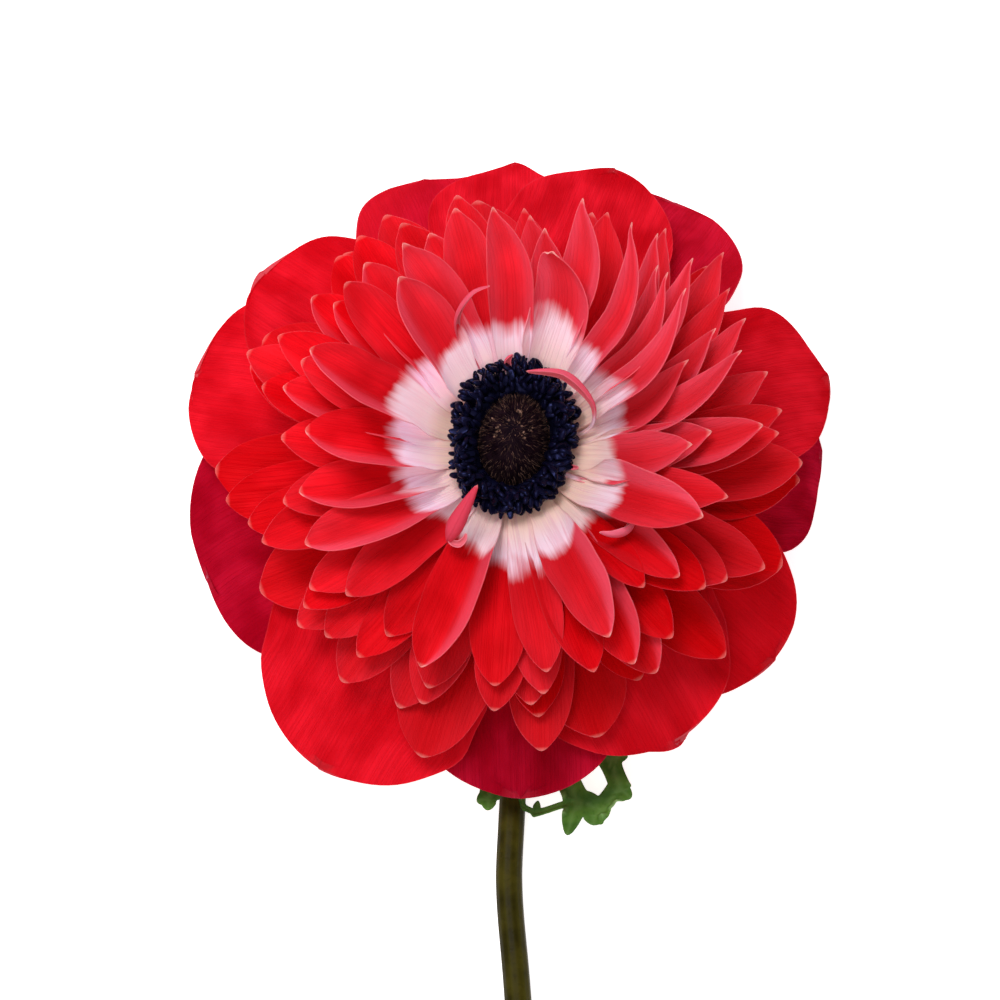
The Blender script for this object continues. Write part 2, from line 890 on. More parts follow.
    def lift(self, u: np.ndarray, v: np.ndarray, width: np.ndarray) -> np.ndarray:
        """Finds how far the blade stands off its flat: its cup, waves, spoon and folds.

        Args:
            u: Shares of its length, one for each point.
            v: Shares of its half-width.
            width: Half its width at each point.

        Returns:
            The lift of each point.
        """
        folding = gone(np.abs(v), 0.4, 0.6) ** 2 * np.sin(np.pi * np.clip(u, 0, 1) ** 0.8)
        folding *= gone(u, 0.2, 0.25)
        full = np.clip(width / (0.4 * self.half_width), 0, 1)
        lift = self.cup * width * v * v + self.wave * full * u * u * np.sin(3 * v + self.phase)
        lift += self.spoon * width * (v * v - 0.3) * gone(u, 0.35, 0.65) ** 2
        lift += np.where(v < 0, self.fold_right, self.fold_left) * width * folding
        waves = np.sin(self.rim_waves * u + self.phase + 2.2 * np.sign(v))
        return lift + self.rim_wave * full * u * np.abs(v) ** 3 * waves

    def overreach(self, u: np.ndarray, v: np.ndarray) -> np.ndarray:
        """Finds how far the end runs out in its small point and uneven edge, or in where it is nicked.

        Args:
            u: Shares of its length, one for each point.
            v: Shares of its half-width.

        Returns:
            The way out of each point.
        """
        reach = self.point * gone(u, 0.975, 0.025) ** 1.5
        uneven = np.sin(6 * v + 2 * self.phase) + 0.7 * np.sin(13 * v + self.phase)
        reach += self.ragged * uneven * gone(u, 0.7, 0.3) ** 2
        return reach - self.notch * np.exp(-((v - self.notch_at) / 0.16) ** 2) * gone(u, 0.8, 0.2) ** 2

    def bend(self, grid: bpy.types.Object) -> bpy.types.Object:
        """Bends a copy of a flat grid into this blade.

        Args:
            grid: The flat grid, with X across the blade and Y along it.

        Returns:
            The blade, marked for its finish.
        """
        piece = copy_of(grid, "blade")
        flat = places_of(piece.data)
        v, u = -flat[:, 0], 1 - (1 - (flat[:, 1] + 1) / 2) ** self.CROWDING
        points = self.surface(u, v) + np.array(AXIS)
        points[:, 2] = np.maximum(points[:, 2], BLADE_SKIN / 2)
        set_places(piece.data, points)
        width = self.widths(u)
        same = np.ones(len(u))
        rim = np.minimum((1 - np.abs(v)) * width, (1 - u) * self.length * 0.6) / MM
        folded = np.where(v < 0, self.fold_right, self.fold_left) * gone(np.abs(v), 0.45, 0.3)
        outwards = np.clip(np.abs(v) ** 1.5 + 0.6 * gone(u, 0.7, 0.3), 0, 1)
        blush = np.clip(self.blush * (0.35 + 0.65 * outwards) + 0.9 * folded, 0, 1)
        lit = 0.5 + 0.5 * math.cos(self.azimuth - LIT_SIDE)
        write_marks(
            piece.data,
            lay=np.column_stack((v * width / MM, u * self.length / MM, same * self.number)),
            marks=np.column_stack((rim, u / self.white_share(), blush)),
            stand=np.column_stack((same * lit ** 1.5, same * self.depth, (1 - u) * self.length / MM)),
        )
        return piece


def thickened(blades: list[bpy.types.Object], name: str) -> bpy.types.Object:
    """Joins thin blades into one piece and gives them their thickness.

    Args:
        blades: The blades, each a single sheet.
        name: The piece's name.

    Returns:
        The piece, marked with 1 on its underside.
    """
    piece = joined(blades, name)
    sew(piece)
    faced = len(piece.data.vertices)
    apply_modifier(piece, "SOLIDIFY", thickness=BLADE_SKIN, offset=0.0, use_rim=True)
    write_marks(piece.data, under=(np.arange(len(piece.data.vertices)) >= faced).astype(float))
    return piece


class Level(Enum):
    """The whorl that a tepal stands in, from the hindmost.

    Each has its roots' height in millimetres and their slope in degrees.
    """

    BACK = (17.25, 0)
    MIDDLE = (17.6, 2)
    FRONT = (17.95, 4)


@dataclass
class Tepal:
    """One broad outer tepal, its sizes in millimetres, its place and its droop in degrees."""

    degrees: float
    level: Level
    length: float
    half_width: float
    tip_slope: float
    notch: float = 0.0
    blush: float = 0.0
    depth: float = 0.3
    tip_round: float = 0.52


@dataclass
class OuterTepals:
    """The broad outer tepals, in three whorls that differ in colour and height."""

    tepals: tuple[Tepal, ...] = (
        Tepal(90, Level.MIDDLE, 48.0, 13.5, -45, depth=0.0, tip_round=0.72),
        Tepal(72, Level.FRONT, 47.6, 13.5, -38, depth=0.0, tip_round=0.74),
        Tepal(60.5, Level.BACK, 53.3, 16.5, -59.5, blush=0.45, depth=0.0),
        Tepal(18, Level.MIDDLE, 49.5, 13.0, -48, 0.9, depth=0.5),
        Tepal(6, Level.BACK, 49.5, 17.5, -65.5, depth=0.3),
        Tepal(-37, Level.MIDDLE, 46.5, 15.0, -40, depth=1.2),
        Tepal(-61, Level.FRONT, 46.0, 16.0, -26, depth=0.7),
        Tepal(-89, Level.BACK, 47.0, 16.5, -22, depth=0.2),
        Tepal(-122, Level.MIDDLE, 51.5, 18.0, -26, 0.5, depth=0.5),
        Tepal(-162, Level.BACK, 51.3, 19.0, -63.5, depth=0.7),
        Tepal(162, Level.MIDDLE, 50.5, 15.5, -48, depth=0.6),
        Tepal(141.5, Level.FRONT, 47.0, 13.2, -38, depth=0.4, tip_round=0.6),
        Tepal(106, Level.BACK, 52.4, 14.5, -60.5, blush=0.9, depth=0.3),
    )

    def blades(self) -> Iterator[tuple[Level, Blade]]:
        """Yields each tepal's whorl and blade."""
        drawn = random.Random(SEED)
        for number, tepal in enumerate(self.tepals):
            height, slope = tepal.level.value
            yield tepal.level, Blade(
                azimuth=math.radians(tepal.degrees),
                root_radius=4.9 * MM,
                root_height=height * MM,
                length=tepal.length * MM,
                half_width=tepal.half_width * MM,
                root_slope=math.radians(slope),
                main_slope=math.radians(slope),
                tip_slope=math.radians(tepal.tip_slope),
                white_radius=15 * MM,
                cup=-0.03,
                wave=0.4 * MM,
                phase=drawn.uniform(0, math.tau),
                claw=0.14,
                widest=0.66,
                tip_power=2.2,
                tip_round=tepal.tip_round,
                rim_wave=0.9 * MM,
                rim_waves=drawn.uniform(11, 17),
                notch=tepal.notch * MM,
                blush=tepal.blush,
                depth=tepal.depth,
                ripple=0.04,
                ragged=0.5 * MM,
                number=3.7 * number,
            )

    def build(self, palette: Palette) -> list[bpy.types.Object]:
        """Builds one piece for each whorl.

        Args:
            palette: The flower's finishes.

        Returns:
            The pieces.
        """
        grid = add_grid("tepal_grid", 24, 34)
        blades = list(self.blades())
        scarlet = palette.tepal_scarlet.build(palette.effects)
        crimson = palette.tepal_crimson.build(palette.effects)
        pieces = []
        for level in Level:
            bent = [blade.bend(grid) for found, blade in blades if found is level]
            piece = thickened(bent, f"outer_tepals_{level.name.lower()}")
            finish = crimson if level is Level.BACK else scarlet
            pieces.append(dress(piece, finish, "scarlet_tepal", "outer_tepals"))
        discard(grid)
        return pieces


class Form(Enum):
    """How a narrow petal's margins stand: the share of its width that its right and left fold up by."""

    OPEN = (0.0, 0.0)
    LEFT_FOLD = (0.0, 0.8)
    RIGHT_FOLD = (0.8, 0.0)
    CUPPED = (0.4, 0.4)
    HOODED = (0.15, 0.6)


@dataclass
class Seen:
    """Where the camera sees a petal's tip, in pixels of its picture, and how the petal is formed."""

    x: float
    y: float
    form: Form = Form.OPEN
    broad: float = 1.0
    curl: float = 0.0

    def from_eye(self) -> Vector:
        """Returns how far right of and above the eye's centre the tip is seen, in metres."""
        return Vector(((self.x - EYE_PIXEL[0]) * PIXEL, (EYE_PIXEL[1] - self.y) * PIXEL))


@dataclass
class PetalRow:
    """One row of narrow petals, half-width and length in millimetres, slopes in degrees.

    Where a petal shows, its number in the row says where the camera sees its tip.
    """

    count: int
    half_width: float
    length: float
    low: float
    side: float
    high: float
    seen: dict[int, Seen] = field(default_factory=dict)

    def rise(self, azimuth: float, high_side: float) -> float:
        """Finds how steeply the row's petals rise on one side of the bloom.

        Args:
            azimuth: The side, in radians.
            high_side: The side where they rise by the row's high slope.

        Returns:
            The slope in degrees.
        """
        away = math.cos(azimuth - high_side)
        if away > 0:
            return mix(self.side, self.high, away)
        return mix(self.side, self.low, (-away) ** 1.3)


def aimed_blade(sizes: dict[str, float], seen: Seen) -> Blade:
    """Turns and stretches a blade until the camera sees its tip where it should.

    Args:
        sizes: The blade's sizes.
        seen: Where its tip is seen.

    Returns:
        The blade, at most a fifth longer or shorter than it was.
    """
    target = seen.from_eye()
    first = sizes["length"]
    for _ in range(8):
        tip = Blade(**sizes).surface(np.array([1.0]), np.array([0.0]))[0]
        found = seen_from_camera(tip)
        turn = math.atan2(target.y, target.x) - math.atan2(found.y, found.x)
        turn = (turn + math.pi) % math.tau - math.pi
        sizes["azimuth"] += 0.75 * turn
        sizes["sweep"] += 0.25 * turn * found.length / sizes["length"]
        longer = sizes["length"] + (target.length - found.length) * 0.9
        sizes["length"] = min(1.2 * first, max(0.8 * first, longer))
    return Blade(**sizes)


def seen_from_camera(place: np.ndarray) -> Vector:
    """Finds where the camera sees a place.

    Args:
        place: The place, from the foot of the bloom's axis.

    Returns:
        How far right of and above the eye's centre it is seen, in metres.
    """
    x, y, z = place[0], place[1], place[2] - EYE_HEIGHT
    depth = CAMERA_DISTANCE - (z * math.cos(CAMERA_TILT) - y * math.sin(CAMERA_TILT))
    up = y * math.cos(CAMERA_TILT) + z * math.sin(CAMERA_TILT)
    return Vector((x, up)) * (CAMERA_DISTANCE / depth)


@dataclass
class InnerPetals:
    """The rows of narrow petals, white towards the eye."""

    rows: tuple[PetalRow, ...] = (
        PetalRow(11, 7.0, 37.0, 4, 5, 6, {
            0: Seen(800, 480), 6: Seen(215, 470), 7: Seen(260, 591), 8: Seen(421, 757), 9: Seen(599, 737),
        }),
        PetalRow(12, 5.2, 36.5, 7, 12, 12, {
            3: Seen(342, 682), 4: Seen(399, 708), 5: Seen(542, 751), 6: Seen(725, 657), 8: Seen(768, 372),
            9: Seen(724, 252), 10: Seen(608, 212), 11: Seen(385, 215),
        }),
        PetalRow(13, 4.7, 36.0, 10, 19, 18, {
            0: Seen(539, 717), 1: Seen(640, 680), 2: Seen(765, 568), 3: Seen(782, 410), 4: Seen(730, 288),
            5: Seen(666, 228), 6: Seen(524, 208), 7: Seen(402, 223), 8: Seen(359, 236), 9: Seen(247, 352),
            10: Seen(248, 524), 11: Seen(298, 626), 12: Seen(422, 704),
        }),
        PetalRow(13, 4.4, 35.5, 13, 26, 25, {
            0: Seen(693, 258, Form.CUPPED), 1: Seen(530, 215), 2: Seen(457, 195), 3: Seen(312, 297, Form.LEFT_FOLD),
            4: Seen(262, 386), 5: Seen(262, 542), 6: Seen(326, 637), 7: Seen(428, 688), 8: Seen(531, 705),
            9: Seen(656, 673, Form.LEFT_FOLD), 10: Seen(727, 580), 11: Seen(779, 433), 12: Seen(746, 318),
        }),
        PetalRow(13, 4.3, 35.0, 16, 33, 31, {
            0: Seen(283, 502), 1: Seen(304, 607), 2: Seen(358, 657), 3: Seen(494, 711), 4: Seen(672, 638),
            5: Seen(705, 588), 6: Seen(763, 425, Form.CUPPED), 7: Seen(716, 328, Form.RIGHT_FOLD),
            8: Seen(658, 233, Form.CUPPED), 9: Seen(545, 228, Form.CUPPED), 10: Seen(430, 233, Form.CUPPED),
            11: Seen(334, 303, Form.LEFT_FOLD), 12: Seen(278, 336),
        }),
        PetalRow(13, 4.2, 34.5, 19, 40, 37, {
            0: Seen(679, 577, Form.LEFT_FOLD, 0.8), 1: Seen(698, 432, Form.CUPPED),
            2: Seen(742, 350, Form.RIGHT_FOLD), 3: Seen(658, 265, Form.RIGHT_FOLD),
            4: Seen(583, 198, Form.RIGHT_FOLD), 5: Seen(455, 208), 6: Seen(365, 263, Form.LEFT_FOLD),
            7: Seen(283, 387, Form.LEFT_FOLD), 8: Seen(281, 437), 9: Seen(310, 589), 10: Seen(387, 636),
            11: Seen(544, 694), 12: Seen(634, 664, Form.LEFT_FOLD),
        }),
        PetalRow(12, 4.1, 34.0, 22, 46, 43, {
            0: Seen(403, 243), 1: Seen(345, 283), 2: Seen(301, 361),
            3: Seen(299, 492, Form.LEFT_FOLD), 4: Seen(346, 595), 5: Seen(495, 686, Form.OPEN, 1.1),
            6: Seen(594, 672), 7: Seen(644, 587, Form.OPEN, 0.75), 8: Seen(728, 497),
            9: Seen(674, 366), 10: Seen(668, 272, Form.RIGHT_FOLD),
            11: Seen(550, 252, Form.HOODED, 1.6, 45),
        }),
        PetalRow(12, 4.0, 33.5, 25, 53, 49, {
            0: Seen(421, 667, Form.LEFT_FOLD), 1: Seen(547, 672, Form.OPEN, 0.95),
            2: Seen(609, 637, Form.LEFT_FOLD), 3: Seen(703, 517, Form.LEFT_FOLD), 4: Seen(684, 444, Form.OPEN, 1.2),
            5: Seen(686, 288, Form.RIGHT_FOLD, 1.1), 6: Seen(632, 222, Form.RIGHT_FOLD), 7: Seen(493, 207),
            8: Seen(399, 277, Form.LEFT_FOLD), 9: Seen(310, 349, Form.LEFT_FOLD),
            10: Seen(305, 430, Form.LEFT_FOLD, 1.1), 11: Seen(305, 544, Form.LEFT_FOLD),
        }),
    )
    # Where the petals rise by the high slopes, where they fold steeply, and where they are narrow
    high_side: float = math.radians(70)
    steep_side: float = math.radians(55)
    narrow_side: float = math.radians(45)

    def white_radius(self, azimuth: float) -> float:
        """Returns how far from the axis the white reaches on this side: furthest towards the stem."""
        low = -2.6 * min(0.0, math.sin(azimuth)) ** 3
        return (17.7 + low + 0.6 * max(0.0, math.sin(azimuth)) + 0.7 * min(0.0, math.cos(azimuth))) * MM

    def blades(self, level: int, drawn: random.Random) -> Iterator[Blade]:
        """Yields the blades of one row, drawn as for the solids.

        Args:
            level: The row's number, from the lowest.
            drawn: The draw that the rows share.
        """
        row = self.rows[level]
        share = level / (len(self.rows) - 1)
        apart = random.Random(100 + level)
        for i in range(row.count):
            azimuth = math.tau * (i + drawn.uniform(-0.09, 0.09)) / row.count + level * GOLDEN_ANGLE
            rise = row.rise(azimuth, self.high_side) + drawn.uniform(-0.4, 0.4)
            longer = 1 - 0.1 * (1 - share) * math.sin(azimuth)
            length = row.length * MM * longer * drawn.uniform(0.96, 1.04)
            half_width = row.half_width * MM * drawn.uniform(0.95, 1.05)
            rolled = drawn.uniform(-2, 2)
            seen = row.seen.get(i)
            form = seen.form if seen else Form.OPEN
            steep = max(0.0, math.cos(azimuth - self.steep_side)) ** 1.5 * (0.3 + 0.7 * share)
            narrow = max(0.0, math.cos(azimuth - self.narrow_side)) ** 2.5 * (0.65 + 0.35 * share)
            folding = mix(0.35, 1.0, share)
            right, left = form.value
            sizes = dict(
                azimuth=azimuth,
                root_radius=mix(5.2, 4.5, share) * MM,
                root_height=mix(19.2, 23.6, share) * MM,
                length=length,
                half_width=half_width * (seen.broad if seen else 1.0) * mix(1.0, 0.58, narrow),
                root_slope=math.radians(mix(4, 0, share)),
                main_slope=math.radians(rise),
                tip_slope=math.radians(rise - mix(13, 26, share)),
                white_radius=self.white_radius(azimuth) * apart.uniform(0.9, 1.07),
                rise=mix(6, 11, share) * MM,
                sweep=0.13 * math.cos(azimuth) + apart.uniform(-0.02, 0.02),
                roll=math.radians(0.5 * rolled + apart.uniform(-2.5, 2.5)),
                cup=mix(0.1, 0.26, steep),
                wave=apart.uniform(0.05, 0.2) * MM,
                claw=0.36,
                widest=mix(0.68, 0.66, steep),
                tip_power=mix(2.4, 1.9, narrow),
                tip_round=0.5 if form is Form.HOODED else mix(0.62, 0.95, narrow),
                point=0.0 if form is Form.HOODED else mix(apart.uniform(0.2, 0.5), 1.0, steep) * MM,
                hook=0.24 * narrow + apart.uniform(-0.015, 0.015),
                recurve=math.radians(apart.uniform(0, 6) * (0.4 + share) + 25 * steep + (seen.curl if seen else 0.0)),
                fold_left=left * folding + 0.3 * steep * share + abs(apart.gauss(0, 0.04)),
                fold_right=right * folding + 0.35 * steep * share + abs(apart.gauss(0, 0.04)),
                spoon=apart.uniform(0.02, 0.12),
                rim_wave=apart.uniform(0.1, 0.35) * MM,
                rim_waves=apart.uniform(8, 15),
                phase=apart.uniform(0, math.tau),
                ripple=apart.uniform(0.02, 0.07),
                blush=min(1.0, max(0.0, 0.7 * steep + 0.1 * share + apart.uniform(-0.15, 0.12))),
                depth=0.5 - 0.5 * math.cos(azimuth - LIT_SIDE) + 0.7 * (1 - share) ** 1.2,
                number=apart.uniform(0, 100),
            )
            yield aimed_blade(sizes, seen) if seen else Blade(**sizes)

    def build(self, palette: Palette) -> list[bpy.types.Object]:
        """Builds one piece for each row.

        Args:
            palette: The flower's finishes.

        Returns:
            The pieces.
        """
        grid = add_grid("petal_grid", 12, 26)
        finish = palette.petal_scarlet.build(palette.effects)
        drawn = random.Random(SEED)
        pieces = []
        for level in range(len(self.rows)):
            bent = [blade.bend(grid) for blade in self.blades(level, drawn)]
            piece = thickened(bent, f"inner_petals_row_{level + 1}")
            pieces.append(dress(piece, finish, "scarlet_petal", "inner_petals"))
        discard(grid)
        return pieces


# Ribbons and tubes


def line_through(corners: list[Vector], share: float) -> Vector:
    """Returns a point on the smooth curve through the corners.

    Args:
        corners: The points that the curve passes.
        share: How far along it, from 0 to 1.

    Returns:
        The point.
    """
    place = share * (len(corners) - 1)
    i = min(int(place), len(corners) - 2)
    t = place - i
    a, b, c, d = (corners[min(max(k, 0), len(corners) - 1)] for k in range(i - 1, i + 3))
    square = (2 * a - 5 * b + 4 * c - d) * t ** 2
    cube = (3 * b - a - 3 * c + d) * t ** 3
    return 0.5 * (2 * b + (c - a) * t + square + cube)


@dataclass
class Curl:
    """A thin petal curled over the eye: its line and half-width in millimetres, and how it is rolled."""

    line: tuple[tuple[float, float, float], ...]
    half_width: float
    rolled: float = 1.6
    twist: float = 0.0
    white: float = 0.3
    tail: float = 0.35
    fullest: float = 0.5
    blush: float = 0.6
    spread: float = 0.27

    # The length in millimetres that the grain is laid out on
    GRAIN_LENGTH = 18

    def bend(self, grid: bpy.types.Object) -> bpy.types.Object:
        """Bends a copy of a flat grid along the curl's line, rolled across it.

        Args:
            grid: The flat grid, with X across the curl and Y along it.

        Returns:
            The curl, marked for its finish.
        """
        piece = copy_of(grid, "curl")
        flat = places_of(piece.data)
        corners = [Vector(corner) * MM for corner in self.line]
        frames = {}
        side = Vector((-corners[1].y, corners[1].x, 0))
        for y in sorted({round(float(y), 5) for y in flat[:, 1]}):
            share = (y + 1) / 2
            way = line_through(corners, min(1, share + 0.02)) - line_through(corners, max(0, share - 0.02))
            way.normalize()
            side = (side - way * side.dot(way)).normalized()
            turned = side.copy()
            turned.rotate(Matrix.Rotation(self.twist * share, 3, way))
            frames[y] = (line_through(corners, share), turned, way.cross(turned), share)
        places, lay, marks, stand = [], [], [], []
        for x, y, _ in flat:
            centre, across, above, share = frames[round(float(y), 5)]
            swell = math.exp(-(((share - self.fullest) / self.spread) ** 2))
            width = self.half_width * MM * mix(self.tail, 1.0, swell) * min(1.0, 4.5 * (1 - share)) ** 0.5
            turn = self.rolled * x
            arc = width / self.rolled
            offset = across * (arc * math.sin(turn)) + above * (arc * (1 - math.cos(turn)) - 0.35 * width)
            places.append(AXIS + centre + offset)
            lay.append((x * width / MM, share * self.GRAIN_LENGTH, self.half_width * 31))
            marks.append(((1 - abs(x)) * width / MM + 0.02, (share + 0.02) / max(0.02, self.white), self.blush))
            stand.append((0.2, 0.3, (1 - share) * self.GRAIN_LENGTH))
        set_places(piece.data, np.array(places))
        write_marks(piece.data, lay=np.array(lay), marks=np.array(marks), stand=np.array(stand))
        return piece


@dataclass
class CurledPetals:
    """The four curled petals over the eye and the tiny ones beside them."""

    curls: tuple[Curl, ...] = (
        Curl(((-2.6, -4.0, 23.4), (-4.2, -6.8, 24.0), (-6.8, -11.6, 25.6), (-9.2, -15.4, 28.6), (-9.6, -16.6, 31.2),
              (-8.4, -14.4, 33.0), (-5.4, -8.8, 33.4)), 3.4, 2.3, 0.4, 0.5, 0.16, 0.86, 0.3, 0.15),
        Curl(((-9.3, -15.9, 31.4), (-9.3, -17.0, 31.5), (-8.2, -17.4, 31.7), (-7.4, -16.8, 32.0), (-7.1, -15.9, 32.2)),
             0.75, 1.6, 0.8, 0.0, 0.6, 0.5, 0.8),
        Curl(((-0.6, 9.0, 25.5), (-0.9, 10.6, 27.0), (-1.0, 11.8, 28.6), (-0.2, 12.4, 29.6)), 0.9, 1.8, 0.5, 0.4, 0.6),
        Curl(((6.8, -3.7, 25.2), (8.2, -4.3, 26.6), (9.2, -4.8, 28.2), (9.6, -5.0, 29.0)), 0.6, 1.8, 0.5, 0.4, 0.6),
        Curl(((4.4, 1.1, 23.3), (7.8, 1.0, 24.0), (10.6, 1.4, 25.6), (12.0, 2.4, 28.6), (11.4, 4.8, 31.6),
              (7.4, 8.2, 33.4), (1.8, 8.8, 33.0)), 1.9, 1.7, 0.5, 0.6, 0.2, 0.84, 0.7, 0.2),
        Curl(((-2.0, 4.2, 23.4), (-3.6, 7.6, 24.0), (-6.0, 12.0, 26.6), (-8.2, 14.6, 31.0), (-8.4, 16.8, 35.6),
              (-6.2, 19.4, 38.2), (-3.6, 20.4, 38.6)), 1.0, 1.7, 0.8, 0.35, 0.5, 0.75, 0.6),
        Curl(((3.8, -3.2, 23.4), (8.5, -5.4, 25.2), (13.5, -8.1, 28.6), (16.2, -11.4, 31.6), (17.5, -13.9, 33.6),
              (16.7, -15.9, 34.6), (14.6, -16.7, 35.0), (12.6, -16.4, 35.0)), 1.7, 1.8, 0.5, 0.2, 0.3, 0.8, 1.0, 0.22),
    )

    def build(self, palette: Palette) -> list[bpy.types.Object]:
        """Builds the curled petals as one piece.

        Args:
            palette: The flower's finishes.

        Returns:
            The piece, alone in a list.
        """
        grid = add_grid("curl_grid", 12, 60)
        piece = thickened([curl.bend(grid) for curl in self.curls], "inner_petals_curled")
        discard(grid)
        return [dress(piece, palette.curl_pink.build(palette.effects), "scarlet_petal", "inner_petals")]


# The eye

# Half the dome's width and length, before its oval is turned
DOME_HALF_AXES = (5.2 * MM, 6.8 * MM)


def turned_eye(places: np.ndarray) -> np.ndarray:
    """Returns rows of X, Y and Z turned as the eye's oval is and moved to the bloom's axis."""
    return places @ np.array(Matrix.Rotation(-OVAL_TURN, 3, "Z")) + np.array(AXIS)


def scattered(model: bpy.types.Object, places: Iterable[Matrix], name: str) -> bpy.types.Object:
    """Makes one piece of copies of a model.

    Args:
        model: The model, round the origin. It is removed.
        places: Where each copy goes.
        name: The piece's name.

    Returns:
        The piece.
    """
    copies = []
    for place in places:
        made = copy_of(model, name)
        made.data.transform(place)
        copies.append(made)
    discard(model)
    return joined(copies, name)


def aimed(place: Vector, way: Vector, spin: float, sizes: tuple[float, ...]) -> Matrix:
    """Returns the matrix that sets a model at a place, its Z along the way, spun and scaled."""
    turn = way.to_track_quat("Z", "Y").to_matrix().to_4x4() @ Matrix.Rotation(spin, 4, "Z")
    return Matrix.Translation(place) @ turn @ Matrix.Diagonal((*sizes, 1))


@dataclass
class AntherRow:
    """One oval row of anthers.

    It has its count, its middle's reach outside the dome and height in millimetres, and how far it
    leans out in degrees.
    """

    count: int
    reach: float
    height: float
    lean: float


@dataclass
class Stamens:
    """The crowded oval ring of stamens round the dome."""

    anther_length: float = 2.1 * MM
    anther_width: float = 1.08 * MM
    filament_radius: float = 0.13 * MM
    filament_foot: float = 25.2 * MM
    rows: tuple[AntherRow, ...] = (
        AntherRow(28, 0.95, 27.2, 55),
        AntherRow(36, 1.55, 28.1, 66),
        AntherRow(40, 2.2, 28.6, 74),
        AntherRow(44, 2.9, 28.6, 80),
        AntherRow(52, 3.5, 28.0, 86),
        AntherRow(54, 3.8, 27.0, 94),
    )

    def on_oval(self, angle: float, reach: float, height: float) -> Vector:
        """Finds a point round the dome's oval.

        Args:
            angle: The way from the axis.
            reach: How far outside the oval it is.
            height: Its height.

        Returns:
            The point.
        """
        wide, long = DOME_HALF_AXES
        place = Vector(((wide + reach) * math.cos(angle), (long + reach) * math.sin(angle), height))
        place.rotate(Matrix.Rotation(OVAL_TURN, 3, "Z"))
        return AXIS + place

    def anther_model(self) -> bpy.types.Object:
        """Makes one anther: a bean with a groove down its face.

        Returns:
            The anther, one unit long.
        """
        bean = added(bpy.ops.mesh.primitive_uv_sphere_add, "anther", segments=8, ring_count=6, radius=0.5)
        places = places_of(bean.data)
        upright = places[:, 2] / 0.5
        groove = np.where((places[:, 1] > 0.2) & (np.abs(places[:, 0]) < 0.1), 0.55, 1.0)
        places[:, 1] *= groove
        bluntness = np.sqrt((1 - np.abs(upright) ** 2.9 + 1e-6) / (1 - upright ** 2 + 1e-6))
        places[:, :2] *= ((1 - 0.12 * upright) * np.minimum(bluntness, 1.5))[:, None]
        places[:, 1] -= 0.12 * (1 - upright ** 2) - 0.06
        set_places(bean.data, places)
        return bean

    def build(self, palette: Palette) -> list[bpy.types.Object]:
        """Builds the anthers, their filaments and the seat that they grow from.

        Args:
            palette: The flower's finishes.

        Returns:
            The pieces.
        """
        drawn = random.Random(SEED)
        anthers: list[Matrix] = []
        filaments: list[Matrix] = []
        for level, row in enumerate(self.rows):
            for i in range(row.count):
                angle = math.tau * (i + 0.37 * level + drawn.uniform(-0.35, 0.35)) / row.count
                bulge = 0.22 * math.sin(3 * angle + 1.0) + 0.16 * math.sin(5 * angle) + 0.3 * math.sin(angle)
                bulge += 1.3 * abs(math.sin(angle)) - 0.5 * max(0.0, math.cos(angle))
                reach = (row.reach + drawn.uniform(-0.3, 0.3) + bulge * row.reach / 4) * MM
                height = (row.height + drawn.uniform(-0.4, 0.5)) * MM
                middle = self.on_oval(angle, reach, height)
                lean = math.radians(row.lean + drawn.uniform(-24, 14))
                heading = angle + math.radians(drawn.uniform(-60, 60))
                out = Vector((math.cos(heading), math.sin(heading), 0))
                way = out * math.sin(lean) + Vector((0, 0, math.cos(lean)))
                size = drawn.uniform(0.85, 1.12)
                width = self.anther_width * size * drawn.uniform(0.9, 1.1)
                spin = drawn.uniform(0, math.tau)
                anthers.append(aimed(middle, way, spin, (width, 0.85 * width, self.anther_length * size)))
                foot = self.on_oval(angle, (0.4 + 0.25 * row.reach) * MM, self.filament_foot)
                stalk = middle - foot
                filaments.append(aimed(foot, stalk, 0, (self.filament_radius, self.filament_radius, stalk.length)))
        finish = palette.anther.build(palette.effects)
        crowd = scattered(self.anther_model(), anthers, "stamens_anthers")
        stalks = scattered(add_spike("filament", 5, 0.6), filaments, "stamens_filaments")
        seat = self.seat()
        for piece in (crowd, stalks, seat):
            write_marks(piece.data, tip=np.zeros(len(piece.data.vertices)))
            dress(piece, finish, "anther_blue_black", "stamens")
        return [crowd, stalks, seat]

    def seat(self) -> bpy.types.Object:
        """Makes the dark oval ring that the filaments stand on, its top lumpy with their feet.

        Returns:
            The ring.
        """
        seat = add_grid("stamens_seat", 120, 16)
        flat = places_of(seat.data)
        angle = np.pi * (flat[:, 0] + 1)
        turn = np.pi * (flat[:, 1] + 1)
        lumps = 0.14 * np.sin(17 * angle) * np.cos(3 * turn) + 0.1 * np.sin(29 * angle + 2 * turn)
        wider = 0.5 * np.abs(np.sin(angle))
        reach = (1.85 + wider + (1.7 + wider + 0.3 * lumps) * np.cos(turn)) * MM
        height = (25.9 + (1.0 + lumps) * np.sin(turn)) * MM
        wide, long = DOME_HALF_AXES
        places = np.column_stack(((wide + reach) * np.cos(angle), (long + reach) * np.sin(angle), height))
        set_places(seat.data, turned_eye(places))
        sew(seat)
        face_outwards(seat)
        return seat


